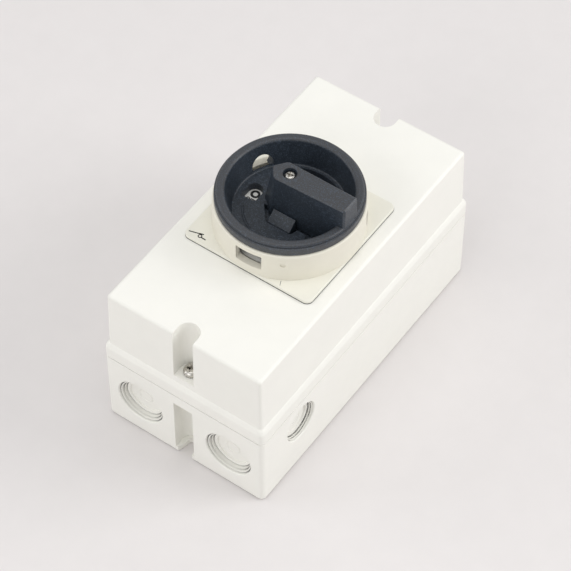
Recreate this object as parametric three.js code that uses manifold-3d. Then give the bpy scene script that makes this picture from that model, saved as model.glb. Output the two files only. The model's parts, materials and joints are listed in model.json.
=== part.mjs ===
// Rotary isolator switch in a moulded enclosure, as an assembly of its separate pieces.
// Millimetres, +Z up. The origin is the middle of the enclosure's underside, and the long side runs
// along Y. The handle is drawn in its OFF position, with the grip along X.
import * as THREE from "three";
import { mergeVertices } from "three/addons/utils/BufferGeometryUtils.js";
import Module from "manifold-3d";

const wasm = await Module();
wasm.setup();

// ---------- driving dimensions ----------
const GAP = 0.3; // clearance between pieces that move or rest on one another
const WIDTH = 83; // enclosure, across X
const LENGTH = 156.7; // enclosure, along Y
const CORNER = 2.4; // radius of the enclosure's upright edges
const WALL = 2.8;
const PARTING = 40.8; // height where lid and base meet
const SEAM = 0.4; // dark line between lid and base
const LEDGE = 49.7; // height of the step round the lid
const LID_TOP = 81.6;
const FLOOR = 3; // thickness of the base's floor

const END = LENGTH / 2;
const SIDE = WIDTH / 2;
const LID_SCREW_Y = 71.3;
const NOTCH = { half: 5.2, inner: 67, z: 53.2 }; // screw notch in each end of the lid, and its floor
const CHANNEL = { half: 4.95, inner: 69, top: 35 }; // wall-fixing channel in each end of the base
const COLUMN = { half: 7.8, inner: 64.6 }; // solid column behind a notch or a channel
const WASHER = 0.4; // thickness of the seal under a lid screw's head
const TAB = 3; // thickness of the fixing tab at a channel's foot
const TAB_SLOT = { half: 2.6, y: 73.2 };

// Cable entries: blind stepped recesses, as radius and depth pairs, that can be knocked out.
const END_ENTRY = { x: 23.3, z: 20.4, steps: [[11.7, 1], [10.7, 2], [10, 3.3], [8.1, 4.2]] };
const SIDE_ENTRY = { y: -50.2, z: 26.8, steps: [[9.7, 0.8], [9.4, 1.8], [9.1, 2.8], [7.2, 3.6]] };
const ENTRY_PAD = 2.6; // extra wall thickness inside, behind an entry

const PLATE = { side: 65, corner: 3, z0: LID_TOP + 0.4, z1: LID_TOP + 1.6 };
const COLLAR = { outer: 32.8, inner: 29.8, top: 98 };
const LOCK_ANGLES = [-87, 33, 153]; // padlock windows round the collar, degrees
const LOCK_WINDOW = { half: 6.3, z0: 87.4, z1: 95.4 };
const LOCK_HOLE = { radius: 5, z: 92.8 }; // padlock holes in the knob's bowl

const KNOB = {
  rim: 32, bowlTop: 27.4, bowlFoot: 24.7, skin: 29.3, underRim: COLLAR.top + GAP, top: 103.4,
  floor: 90.4, skinEnd: 89.6, slab: 26.6, under: PLATE.z1 + 3.3, barrel: 15.6, barrelEnd: 74.5,
};
// The grip bar's outline at its top and at its foot: its nose, its shoulders and its far end, where
// its height is given.
const GRIP = {
  tip: -8.7, shoulder: -4.4, shoulderHalf: 5.5, end: 30.8, endHalf: 4.8, top: 113.8,
};
const GRIP_FALL = 0.0256; // slope of the grip's top, down to its nose
const GRIP_FOOT = {
  tip: -13.8, shoulder: -6.6, shoulderHalf: 6, end: 30.8, endHalf: 5.8, top: KNOB.floor - 3,
};
const TROUGH = 2.8; // depth of the sunk areas beside the grip
const HOLE_SILL = 25.7; // radius out to which the bowl's floor runs on under the padlock holes
const POCKET = { x0: -4.2, x1: 7.8, y0: -11.6, y1: -6, z: 79.4 };
const WINDOW = { x0: -21.6, x1: -14.3, y0: -5.6, y1: 3.4 }; // shows the legend disc
const PLUNGER = { z0: 84.6, nearTop: 90.2, farTop: 93.9 };
const HOLE = 16.2; // opening in lid and plate for the knob's barrel
const CLIP = { z0: 77.6, z1: 78.8, groove: 14.4 };

const SHAFT = { half: 3.5, z0: 61, z1: 97.5 };
const SPINDLE = { half: 4.5, head: 8, z0: 17.4, neck: 61, z1: 69.2 };
const RAIL = { length: 70, z: 6.3, height: 7.5, metal: 1, half: 17.5, web: 13.5 };
const RAIL_SCREW_X = 29;
const DECKS = { count: 4, z: 17.3, pitch: 10, height: 9.7, half: 23, cavity: 15.5, floor: 1.5 };
const HOUSING = { z0: 57.6, z1: 68.4 };
const BOLT_XY = 19.3; // tie bolts, on one diagonal of the decks
const TERMINAL = { half: 4, strip: 6.6, metal: 1.2, screwZ: 3.2, inner: 11 };
const BLADE = { reach: 13.6, half: 3.6, hub: 8.2, metal: 1.2 }; // moving contact
const CAM = { radius: 9.6, lobe: 1.6, lobes: 4 };
const LEAF = { half: 9, y: 12, metal: 1, height: 5.6 }; // snap springs
const HOOK = { half: 12, metal: 2.5, lip: 2, reach: 2.6 }; // the foot's hooks round the rail
const BOLT_BORE = 1.9;
const STEPS = 48; // segments round the handle's circles
const ENTRY_SIDES = 20; // segments round a knockout
const SMALL = 12; // segments round small hidden pieces

// ---------- finishes ----------
const FINISH = {
  shell: { color: 0xf4f3ef, roughness: 0.55, metalness: 0 },
  collar: { color: 0xe6e0cb, roughness: 0.5, metalness: 0 },
  plate: { color: 0xefece0, roughness: 0.5, metalness: 0 },
  legend: { color: 0xe4e2da, roughness: 0.6, metalness: 0 },
  knob: { color: 0x34373c, roughness: 0.65, metalness: 0 },
  seal: { color: 0x2a2a2b, roughness: 0.85, metalness: 0 },
  zinc: { color: 0xc8c6c0, roughness: 0.3, metalness: 1 },
  steel: { color: 0x9b9ea2, roughness: 0.35, metalness: 1 },
  brass: { color: 0xc9a45a, roughness: 0.3, metalness: 1 },
  copper: { color: 0xb8734a, roughness: 0.3, metalness: 1 },
  deck: { color: 0x3b3c3d, roughness: 0.6, metalness: 0 },
  rotor: { color: 0xd9c9a0, roughness: 0.5, metalness: 0 },
};

// ---------- joining and cutting ----------
function volumeOf(points, triangles) {
  const corner = [new THREE.Vector3(), new THREE.Vector3(), new THREE.Vector3()];
  let total = 0;
  for (let i = 0; i < triangles.length; i += 3) {
    corner.forEach((c, k) => c.fromArray(points, 3 * triangles[i + k]));
    total += corner[0].dot(corner[1].cross(corner[2])) / 6;
  }
  return total;
}

function toManifold(geometry) {
  const bare = geometry.clone();
  bare.deleteAttribute("normal");
  bare.deleteAttribute("uv");
  const merged = mergeVertices(bare, 1e-4);
  const points = merged.attributes.position.array;
  const triangles = [];
  for (let i = 0; i < merged.index.count; i += 3) {
    const [a, b, c] = [0, 1, 2].map((k) => merged.index.getX(i + k));
    if (a !== b && b !== c && c !== a) triangles.push(a, b, c);
  }
  if (volumeOf(points, triangles) < 0) triangles.reverse();
  return new wasm.Manifold(new wasm.Mesh({
    numProp: 3,
    vertProperties: new Float32Array(points),
    triVerts: new Uint32Array(triangles),
  }));
}

function toGeometry(manifold) {
  const mesh = manifold.getMesh();
  const geometry = new THREE.BufferGeometry();
  geometry.setAttribute("position", new THREE.BufferAttribute(new Float32Array(mesh.vertProperties), 3));
  geometry.setIndex(new THREE.BufferAttribute(new Uint32Array(mesh.triVerts), 1));
  const flat = geometry.toNonIndexed();
  flat.computeVertexNormals();
  return flat;
}

const join = (first, ...rest) =>
  toGeometry(rest.reduce((sum, piece) => sum.add(toManifold(piece)), toManifold(first)));
const cut = (first, ...rest) =>
  toGeometry(rest.reduce((sum, piece) => sum.subtract(toManifold(piece)), toManifold(first)));

// ---------- basic shapes ----------
function box(x0, x1, y0, y1, z0, z1) {
  const shape = new THREE.BoxGeometry(x1 - x0, y1 - y0, z1 - z0);
  return shape.translate((x0 + x1) / 2, (y0 + y1) / 2, (z0 + z1) / 2);
}

function rod(radius, z0, z1, steps = 24) {
  const shape = new THREE.CylinderGeometry(radius, radius, z1 - z0, steps);
  return shape.rotateX(Math.PI / 2).translate(0, 0, (z0 + z1) / 2);
}

// A solid of revolution about Z, from radius and height pairs.
function lathe(profile, steps = STEPS) {
  const points = profile.map(([radius, z]) => new THREE.Vector2(radius, z));
  return new THREE.LatheGeometry(points, steps).rotateX(Math.PI / 2);
}

function ring(inner, outer, z0, z1, steps = STEPS) {
  return lathe([[inner, z0], [outer, z0], [outer, z1], [inner, z1], [inner, z0]], steps);
}

function prism(corners, z0, z1) {
  const shape = new THREE.Shape(corners.map(([x, y]) => new THREE.Vector2(x, y)));
  const solid = new THREE.ExtrudeGeometry(shape, { depth: z1 - z0, bevelEnabled: false });
  return solid.translate(0, 0, z0);
}

// A rounded rectangle, as a counterclockwise loop of points.
function roundedLoop(width, length, radius, steps = 4) {
  const loop = [];
  for (let quarter = 0; quarter < 4; quarter += 1) {
    const sx = quarter === 0 || quarter === 3 ? 1 : -1;
    const sy = quarter < 2 ? 1 : -1;
    for (let i = 0; i <= steps; i += 1) {
      const turn = (quarter + i / steps) * (Math.PI / 2);
      loop.push([
        sx * (width / 2 - radius) + radius * Math.cos(turn),
        sy * (length / 2 - radius) + radius * Math.sin(turn),
      ]);
    }
  }
  return loop;
}

// A closed skin through loops of equal length, from the lowest up. The end loops are convex.
function skin(loops) {
  const count = loops[0].length;
  const faces = [];
  for (let k = 0; k + 1 < loops.length; k += 1) {
    for (let i = 0; i < count; i += 1) {
      const a = k * count + i;
      const b = k * count + ((i + 1) % count);
      faces.push(a, b, b + count, a, b + count, a + count);
    }
  }
  const last = (loops.length - 1) * count;
  for (let i = 1; i + 1 < count; i += 1) faces.push(0, i + 1, i, last, last + i, last + i + 1);
  const geometry = new THREE.BufferGeometry();
  geometry.setAttribute("position", new THREE.Float32BufferAttribute(loops.flat(2), 3));
  geometry.setIndex(faces);
  return geometry;
}

// A box with rounded upright edges, through sections given as inset and height.
function loft(sections, width = WIDTH, length = LENGTH, corner = CORNER) {
  return skin(sections.map(([inset, z]) => {
    const loop = roundedLoop(width - 2 * inset, length - 2 * inset, Math.max(corner - inset / 2, 1));
    return loop.map(([x, y]) => [x, y, z]);
  }));
}

// A pan head on a plain shank. The head's underside is at height 0.
function panScrew(headRadius, headHeight, shankRadius, shankLength, steps = SMALL) {
  return lathe([
    [0, -shankLength], [shankRadius, -shankLength], [shankRadius, 0], [headRadius, 0],
    [headRadius, headHeight * 0.6], [headRadius * 0.7, headHeight], [0, headHeight],
  ], steps);
}

// The same screw with a cross recess, for the places where the head shows.
function crossScrew(headRadius, headHeight, shankRadius, shankLength) {
  const body = panScrew(headRadius, headHeight, shankRadius, shankLength, 20);
  const arm = headRadius * 0.55;
  const slot = headRadius * 0.13;
  const depth = headHeight * 0.45;
  const top = headHeight + 1;
  return cut(body, box(-arm, arm, -slot, slot, depth, top), box(-slot, slot, -arm, arm, depth, top));
}

// ---------- assembling ----------
const isolator = new THREE.Group();

function add(name, geometry, finish, parent = isolator) {
  const mesh = new THREE.Mesh(geometry, new THREE.MeshStandardMaterial(FINISH[finish]));
  mesh.name = name;
  parent.add(mesh);
  return mesh;
}

// ---------- enclosure ----------
// The same cutter on both ends: the second copy is turned half round.
const bothEnds = (make) => [make(), make().rotateZ(Math.PI)];

function channelCutter() {
  const { half, inner, top } = CHANNEL;
  const centre = -(inner + half);
  return join(
    rod(half, TAB, top, 20).translate(0, centre, 0),
    box(-half, half, -END - 1, centre, TAB, top),
  );
}

function tabSlotCutter() {
  const { half, y } = TAB_SLOT;
  const wide = half + 1.4;
  const mouth = prism([[-half, -y], [-wide, -END - 1], [wide, -END - 1], [half, -y]], -1, TAB + 1);
  return join(rod(half, -1, TAB + 1, 16).translate(0, -y, 0), mouth);
}

// The stepped blind recess of a knockout, drawn on the enclosure's front wall.
function entryCutter(steps) {
  const rings = steps.map(([radius, depth]) => rod(radius, -depth, 1, ENTRY_SIDES));
  return join(...rings).rotateX(Math.PI / 2);
}

function entryPad(steps) {
  return rod(steps[0][0] + 1.4, -WALL - ENTRY_PAD, -WALL + 0.5, ENTRY_SIDES).rotateX(Math.PI / 2);
}

// Places a front-wall shape at every entry: two in each end and one in each side.
function atEntries(make) {
  const { x, z, steps } = END_ENTRY;
  const ends = [-1, 1].flatMap((side) => [
    make(steps).translate(side * x, -END, z),
    make(steps).rotateZ(Math.PI).translate(side * x, END, z),
  ]);
  const sides = [-1, 1].map((side) =>
    make(SIDE_ENTRY.steps).rotateZ(side * (Math.PI / 2)).translate(side * SIDE, SIDE_ENTRY.y, SIDE_ENTRY.z));
  return [...ends, ...sides];
}

function enclosureBase() {
  const outer = loft([[0.9, 0], [0.2, 0.8], [0, PARTING - 2.6], [0, PARTING - SEAM / 2]]);
  const hollow = loft([[WALL + 0.2, FLOOR], [WALL, PARTING + 1]]);
  const reach = END - COLUMN.inner + 1;
  const column = () => box(-COLUMN.half, COLUMN.half, -END - 1, -END - 1 + reach, -1, PARTING + 2);
  const room = cut(hollow, ...bothEnds(column), ...atEntries(entryPad));
  const groove = cut(
    loft([[0.9, PARTING - 1.6], [0.9, PARTING + 1]]),
    loft([[2.1, PARTING - 2], [2.1, PARTING + 2]]),
  );
  const insertHole = () => rod(3.2, PARTING - 5.5, PARTING + 1).translate(0, -LID_SCREW_Y, 0);
  const railPost = (x) => rod(5, FLOOR - 0.5, RAIL.z - GAP).translate(x, 0, 0);
  const railHole = (x) => rod(1.9, FLOOR - 1, RAIL.z + 1, 16).translate(x, 0, 0);
  const shell = cut(
    outer, room, groove,
    ...bothEnds(channelCutter), ...bothEnds(tabSlotCutter), ...bothEnds(insertHole),
    ...atEntries(entryCutter),
  );
  return cut(join(shell, railPost(-RAIL_SCREW_X), railPost(RAIL_SCREW_X)),
    railHole(-RAIL_SCREW_X), railHole(RAIL_SCREW_X));
}

function lidShell() {
  const outer = loft([
    [0, PARTING + SEAM / 2], [0, LEDGE - 2.9], [0.3, LEDGE - 1.7], [0.9, LEDGE - 0.6], [1.45, LEDGE],
    [2.25, LID_TOP - 1.4], [2.5, LID_TOP - 0.7], [2.95, LID_TOP - 0.25], [3.65, LID_TOP],
  ]);
  const hollow = loft([[WALL, PARTING - 1], [WALL + 1.3, LEDGE], [WALL + 2.2, LID_TOP - WALL + 0.4]]);
  const reach = END - COLUMN.inner + 1;
  const column = () => box(-COLUMN.half, COLUMN.half, -END - 1, -END - 1 + reach, PARTING - 2, LID_TOP);
  const notch = () => {
    const centre = -(NOTCH.inner + NOTCH.half);
    return join(
      rod(NOTCH.half, NOTCH.z, LID_TOP + 1, 24).translate(0, centre, 0),
      box(-NOTCH.half, NOTCH.half, -END - 1, centre, NOTCH.z, LID_TOP + 1),
    );
  };
  const screwHole = () => rod(2.4, PARTING - 1, NOTCH.z + 1).translate(0, -LID_SCREW_Y, 0);
  return cut(
    outer, cut(hollow, ...bothEnds(column)), rod(HOLE, PARTING, LID_TOP + 1, STEPS),
    ...bothEnds(notch), ...bothEnds(screwHole),
  );
}

function addEnclosure() {
  add("base_box", enclosureBase(), "shell");
  const gasket = cut(
    loft([[1, PARTING - 1.5], [1, PARTING + SEAM / 2]]),
    loft([[2, PARTING - 3], [2, PARTING + 3]]),
  );
  add("lid_gasket", gasket, "seal");
  add("lid", lidShell(), "shell");
  const head = NOTCH.z + WASHER;
  const washer = ring(2.2, 3.2, 0, WASHER, 16);
  const insert = ring(2.4, 3.1, PARTING - 5.3, PARTING - 0.4, 16);
  for (const [end, y] of [["front", -LID_SCREW_Y], ["rear", LID_SCREW_Y]]) {
    add(`lid_screw_${end}`, crossScrew(3.4, 2.4, 2, 17.4), "zinc").position.set(0, y, head);
    add(`screw_washer_${end}`, washer, "seal").position.set(0, y, NOTCH.z);
    add(`lid_insert_${end}`, insert, "brass").position.set(0, y, 0);
  }
}

// ---------- front plate, collar and legend ----------
// A cutter through the ring wall that looks along +X before it is turned.
const turned = (geometry, degrees) => geometry.rotateZ(THREE.MathUtils.degToRad(degrees));

function lockingCollar() {
  const { outer, inner, top } = COLLAR;
  const wall = lathe([
    [inner, PLATE.z1], [outer + 0.2, PLATE.z1], [outer, top - 0.9], [outer - 0.3, top - 0.25],
    [outer - 0.9, top], [inner + 0.4, top], [inner, top - 0.4], [inner, PLATE.z1],
  ]);
  const { half, z0, z1 } = LOCK_WINDOW;
  const windows = LOCK_ANGLES.map((angle) => turned(box(inner - 4, outer + 2, -half, half, z0, z1), angle));
  return cut(wall, ...windows);
}

function addFront() {
  const outline = [PLATE.side, PLATE.side, PLATE.corner];
  const sheet = loft([[0, PLATE.z0], [0, PLATE.z1 - 0.4], [0.4, PLATE.z1]], ...outline);
  const bore = () => rod(HOLE, LID_TOP - 1, PLATE.z1 + 1, STEPS);
  add("front_plate", cut(sheet, bore()), "plate");
  add("plate_gasket", cut(loft([[0.2, LID_TOP], [0.2, PLATE.z0]], ...outline), bore()), "seal");
  add("locking_collar", lockingCollar(), "collar");
  add("legend_disc", ring(HOLE, COLLAR.inner - 1.2, PLATE.z1, PLATE.z1 + 3, 32), "legend");
}

// ---------- handle ----------
function bowl() {
  const k = KNOB;
  return lathe([
    [0, k.floor], [k.bowlFoot, k.floor], [k.bowlTop - 0.2, k.top - 2.2], [k.bowlTop + 0.3, k.top - 0.8],
    [k.bowlTop + 1.2, k.top - 0.1], [k.rim - 1.8, k.top], [k.rim - 0.9, k.top - 0.5],
    [k.rim - 0.75, k.top - 1.5], [k.rim, k.top - 1.8], [k.rim, k.underRim], [k.skin, k.underRim],
    [k.skin, k.skinEnd], [k.slab, k.skinEnd], [k.slab, k.under], [k.barrel, k.under],
    [k.barrel, k.barrelEnd], [0, k.barrelEnd],
  ]);
}

// The grip bar: pointed at its marking end, where it is lower and wider, and flush with the rim at
// its far end.
function grip() {
  const outline = ({ tip, shoulder, shoulderHalf, end, endHalf, top }, fall) => {
    const corners = [
      [tip, 0], [shoulder, -shoulderHalf], [end, -endHalf], [end, endHalf], [shoulder, shoulderHalf],
    ];
    return corners.map(([x, y]) => [x, y, top - fall * (end - x)]);
  };
  const bar = skin([outline(GRIP_FOOT, 0), outline(GRIP, GRIP_FALL)]);
  return cut(bar, ring(KNOB.skin, 50, 0, KNOB.underRim));
}

// The sunk areas of the bowl's floor, on the two sides of the grip.
function troughs() {
  const z0 = KNOB.floor - TROUGH;
  const z1 = KNOB.floor + 1;
  const near = prism([
    [-10.6, -4], [-4.2, -11.8], [8.4, -11.4], [9.4, -8], [13.4, -8], [17.6, -15], [40, -15], [40, -4],
  ], z0, z1);
  const far = box(-9.5, 40, 4, 40, z0, z1);
  return cut(join(near, far), ring(KNOB.bowlFoot - 1.6, 60, z0 - 1, z1 + 1));
}

function lockHole(angle) {
  const hole = rod(LOCK_HOLE.radius, KNOB.bowlFoot - 1.1, COLLAR.outer, 24).rotateY(Math.PI / 2);
  const below = box(0, HOLE_SILL, -9, 9, 80, KNOB.floor + GAP);
  return turned(cut(hole.translate(0, 0, LOCK_HOLE.z), below), angle);
}

function knobBody() {
  const socket = SHAFT.half + GAP;
  return cut(
    join(cut(bowl(), troughs()), grip()),
    box(POCKET.x0, POCKET.x1, POCKET.y0, POCKET.y1, POCKET.z, PLUNGER.farTop + 3),
    box(WINDOW.x0, WINDOW.x1, WINDOW.y0, WINDOW.y1, KNOB.under - 1, KNOB.floor + 1),
    box(-socket, socket, -socket, socket, KNOB.barrelEnd - 1, SHAFT.z1 + GAP),
    rod(1.9, SHAFT.z1, GRIP.top, 16), rod(3.1, GRIP.top - 3.4, GRIP.top + 1, 24),
    ring(CLIP.groove, KNOB.barrel + 1, CLIP.z0 - GAP, CLIP.z1 + GAP),
    ...LOCK_ANGLES.map(lockHole),
  );
}

// The lock tab in the bowl: a rectangular plunger whose top slopes up towards the grip.
function lockPlunger() {
  const { x0, x1, y0, y1 } = POCKET;
  const { z0, nearTop, farTop } = PLUNGER;
  const near = y0 + GAP;
  const far = y1 - GAP;
  const base = [[x0 + GAP, near, z0], [x1 - GAP, near, z0], [x1 - GAP, far, z0], [x0 + GAP, far, z0]];
  return skin([base, base.map(([x, y]) => [x, y, y === near ? nearTop : farTop])]);
}

// A helical spring between two heights, with flattened ends, about the Z axis.
class Helix extends THREE.Curve {
  constructor(radius, pitchCount, z0, z1) {
    super();
    Object.assign(this, { radius, pitchCount, z0, z1 });
  }

  getPoint(t, target = new THREE.Vector3()) {
    const turn = 2 * Math.PI * this.pitchCount * t;
    const x = this.radius * Math.cos(turn);
    const y = this.radius * Math.sin(turn);
    return target.set(x, y, this.z0 + (this.z1 - this.z0) * t);
  }
}

function spring(radius, wire, turns, z0, z1) {
  const section = new THREE.Shape().absarc(0, 0, wire, 0, 2 * Math.PI);
  return new THREE.ExtrudeGeometry(section, {
    steps: turns * 9,
    curveSegments: 3,
    extrudePath: new Helix(radius, turns, z0 + wire, z1 - wire),
  });
}

// An open retaining ring, for a groove in the barrel.
function retainingClip() {
  const { z0, z1, groove } = CLIP;
  const hoop = ring(groove + GAP, KNOB.barrel + 2, z0, z1);
  return cut(hoop, box(0, 30, -4, 4, z0 - 1, z1 + 1));
}

function addHandle() {
  add("knob", knobBody(), "knob");
  const shaft = box(-SHAFT.half, SHAFT.half, -SHAFT.half, SHAFT.half, SHAFT.z0, SHAFT.z1);
  add("drive_shaft", cut(shaft, rod(1.8, SHAFT.z1 - 10, SHAFT.z1 + 1, 16)), "zinc");
  add("handle_screw", crossScrew(2.4, 1.9, 1.5, 20), "zinc").position.z = GRIP.top - 3.4;
  add("retaining_clip", retainingClip(), "steel");
  add("shaft_seal", ring(KNOB.barrel + 0.1, HOLE - 0.05, LID_TOP - 2, LID_TOP - 0.6, 32), "seal");
  add("lock_plunger", lockPlunger(), "knob");
  const coil = spring(2, 0.35, 3, POCKET.z + 0.05, PLUNGER.z0 - 0.05);
  const middle = [(POCKET.x0 + POCKET.x1) / 2, (POCKET.y0 + POCKET.y1) / 2, 0];
  add("plunger_spring", coil, "steel").position.set(...middle);
}

// ---------- switch mechanism ----------
function dinRail() {
  const { z, height, metal, half, web } = RAIL;
  const section = [
    [-web, z], [web, z], [web, z + height - metal], [half, z + height - metal], [half, z + height],
    [web - metal, z + height], [web - metal, z + metal], [-web + metal, z + metal],
    [-web + metal, z + height], [-half, z + height], [-half, z + height - metal],
    [-web, z + height - metal],
  ];
  const bar = prism(section, -RAIL.length / 2, RAIL.length / 2);
  const lying = bar.rotateX(Math.PI / 2).rotateZ(Math.PI / 2);
  const hole = (x) => rod(2.3, z - 1, z + metal + 1, 16).translate(x, 0, 0);
  return cut(lying, hole(-RAIL_SCREW_X), hole(RAIL_SCREW_X));
}

function mountingFoot() {
  const { half } = DECKS;
  const lip = RAIL.half + GAP;
  const under = RAIL.z + RAIL.height;
  const top = DECKS.z - GAP;
  const hook = () => join(
    box(-HOOK.half, HOOK.half, lip, lip + HOOK.metal, under - HOOK.reach, top),
    box(-HOOK.half, HOOK.half, lip - HOOK.lip, lip + 0.5, under - HOOK.reach, under - RAIL.metal - GAP),
  );
  const slab = box(-half, half, -half, half, under + GAP, top);
  const bores = [rod(3.4, under, top + 1, 20), ...boltHoles(1.4, under, top + 1)];
  return cut(join(slab, ...bothEnds(hook)), ...bores);
}

const boltHoles = (radius, z0, z1) =>
  [-BOLT_XY, BOLT_XY].map((d) => rod(radius, z0, z1, SMALL).translate(d, d, 0));

// One contact deck, with its own floor at height 0.
function contactDeck() {
  const { half, height, cavity, floor } = DECKS;
  const notch = () => box(-TERMINAL.half - GAP, TERMINAL.half + GAP, -half - 1, -8,
    TERMINAL.strip - GAP, height + 1);
  const screwHole = () => rod(1.9, half - 6.6, half + 1, SMALL).rotateX(Math.PI / 2)
    .translate(0, 0, TERMINAL.screwZ);
  return cut(
    loft([[0, 0], [0, height]], 2 * half, 2 * half, 3),
    rod(cavity, floor, height + 1, 24), rod(6.9, -1, floor + 1, SMALL),
    ...bothEnds(notch), ...bothEnds(screwHole), ...boltHoles(BOLT_BORE, -1, height + 1),
  );
}

// A fixed contact: a strip into the deck, and a tab on its outside face for the wire's screw.
function fixedContact() {
  const { half, strip, metal, screwZ, inner } = TERMINAL;
  const outside = -DECKS.half - GAP;
  const tongue = box(-half, half, outside - metal, -inner, strip, strip + metal);
  const tab = box(-half, half, outside - metal, outside, 0.7, strip + metal);
  const hole = rod(1.9, -outside - 1, -outside + metal + 1, SMALL).rotateX(Math.PI / 2)
    .translate(0, 0, screwZ);
  return cut(join(tongue, tab), hole);
}

// A moving contact: two blades on a keyed hub.
function movingContact() {
  const z0 = TERMINAL.strip + TERMINAL.metal + GAP;
  const z1 = z0 + BLADE.metal;
  const key = SPINDLE.half + GAP;
  const { reach, half } = BLADE;
  return cut(
    join(box(-reach, reach, -half, half, z0, z1), rod(BLADE.hub, z0, z1, 20)),
    box(-key, key, -key, key, z0 - 1, z1 + 1),
  );
}

function addDeck(number) {
  const deck = new THREE.Group();
  deck.position.z = DECKS.z + (number - 1) * DECKS.pitch;
  isolator.add(deck);
  add(`contact_deck_${number}`, contactDeck(), "deck", deck);
  add(`moving_contact_${number}`, movingContact(), "copper", deck);
  const face = DECKS.half + GAP + TERMINAL.metal;
  for (const [side, turn] of [["line", 0], ["load", Math.PI]]) {
    const half = new THREE.Group();
    half.rotation.z = turn;
    deck.add(half);
    add(`${side}_contact_${number}`, fixedContact(), "copper", half);
    const screw = add(`${side}_screw_${number}`, panScrew(2.7, 1.9, 1.6, 6.5), "zinc", half);
    screw.rotation.x = Math.PI / 2;
    screw.position.set(0, -face - 0.05, TERMINAL.screwZ);
  }
}

function spindle() {
  const { half, head, z0, neck, z1 } = SPINDLE;
  const key = SHAFT.half + GAP;
  return cut(
    join(rod(3, z0 - 2.4, z0 + 1, 20), box(-half, half, -half, half, z0, neck + 1), rod(head, neck, z1, 32)),
    box(-key, key, -key, key, SHAFT.z0 - GAP, z1 + 1),
  );
}

// The snap cam turns with the spindle inside the mechanism housing.
function snapCam() {
  const key = SPINDLE.half + GAP;
  const lobes = [];
  for (let i = 0; i < 24; i += 1) {
    const turn = (i / 24) * 2 * Math.PI;
    const reach = CAM.radius + CAM.lobe * Math.cos(CAM.lobes * turn);
    lobes.push([reach * Math.cos(turn), reach * Math.sin(turn)]);
  }
  return cut(prism(lobes, HOUSING.z0 + 0.4, SPINDLE.neck - GAP), box(-key, key, -key, key, 0, 100));
}

function mechanismHousing() {
  const { z0, z1 } = HOUSING;
  const size = 2 * DECKS.half;
  return cut(
    loft([[0, z0], [0, z1 - 1], [1, z1]], size, size, 3),
    rod(18, z0 - 1, z1 - 3, 32), rod(SPINDLE.head + 0.5, z0, z1 + 1, 32),
    ...boltHoles(BOLT_BORE, z0 - 1, z1 + 1),
  );
}

// A pair of leaf springs bear on the snap cam from both sides.
function snapLeaf() {
  const { half, y, metal, height } = LEAF;
  const z0 = HOUSING.z0 + 0.4;
  return box(-half, half, y, y + metal, z0, z0 + height);
}

function addMechanism() {
  add("din_rail", dinRail(), "steel");
  for (const [number, x] of [[1, -RAIL_SCREW_X], [2, RAIL_SCREW_X]]) {
    const screw = add(`rail_screw_${number}`, panScrew(3.4, 2.2, 1.6, 4), "zinc");
    screw.position.set(x, 0, RAIL.z + RAIL.metal + 0.05);
  }
  add("mounting_foot", mountingFoot(), "deck");
  for (let number = 1; number <= DECKS.count; number += 1) addDeck(number);
  add("mechanism_housing", mechanismHousing(), "deck");
  add("snap_cam", snapCam(), "rotor");
  add("snap_spring_front", snapLeaf().rotateZ(Math.PI), "steel");
  add("snap_spring_rear", snapLeaf(), "steel");
  add("rotor_spindle", spindle(), "rotor");
  const boltLength = HOUSING.z1 - DECKS.z + 2.6;
  for (const [number, d] of [[1, -BOLT_XY], [2, BOLT_XY]]) {
    const bolt = add(`tie_bolt_${number}`, panScrew(3, 2, 1.1, boltLength), "zinc");
    bolt.position.set(d, d, HOUSING.z1 + 0.05);
  }
}

addEnclosure();
addFront();
addHandle();
addMechanism();

export default isolator;
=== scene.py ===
"""The looks of a rotary isolator switch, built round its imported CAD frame.

Solids are made in millimetres by the helpers below and turned to metres as they become pieces.
The origin is the middle of the enclosure's underside, +Z points out of the wall and the long side
runs along Y.
"""

import json
import math

import bmesh
import bpy
from mathutils import Matrix, Vector

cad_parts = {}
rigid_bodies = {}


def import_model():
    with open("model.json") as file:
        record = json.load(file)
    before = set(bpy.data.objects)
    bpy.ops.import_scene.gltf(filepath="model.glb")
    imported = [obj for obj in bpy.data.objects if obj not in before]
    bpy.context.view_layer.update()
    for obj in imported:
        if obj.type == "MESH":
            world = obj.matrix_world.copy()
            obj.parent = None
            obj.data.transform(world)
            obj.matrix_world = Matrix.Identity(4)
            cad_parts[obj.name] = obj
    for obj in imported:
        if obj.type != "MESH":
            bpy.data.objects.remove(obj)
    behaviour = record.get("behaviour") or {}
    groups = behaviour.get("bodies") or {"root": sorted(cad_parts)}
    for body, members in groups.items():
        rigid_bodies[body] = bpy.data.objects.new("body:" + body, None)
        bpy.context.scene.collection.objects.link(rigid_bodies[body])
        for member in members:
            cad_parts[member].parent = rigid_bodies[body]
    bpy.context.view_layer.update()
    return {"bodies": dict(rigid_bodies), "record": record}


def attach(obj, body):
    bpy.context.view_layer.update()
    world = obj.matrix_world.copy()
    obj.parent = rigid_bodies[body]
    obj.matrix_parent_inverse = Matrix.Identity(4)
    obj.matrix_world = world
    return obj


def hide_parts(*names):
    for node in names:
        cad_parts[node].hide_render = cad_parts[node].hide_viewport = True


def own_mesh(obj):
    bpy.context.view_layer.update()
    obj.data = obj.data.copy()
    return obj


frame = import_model()

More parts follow.
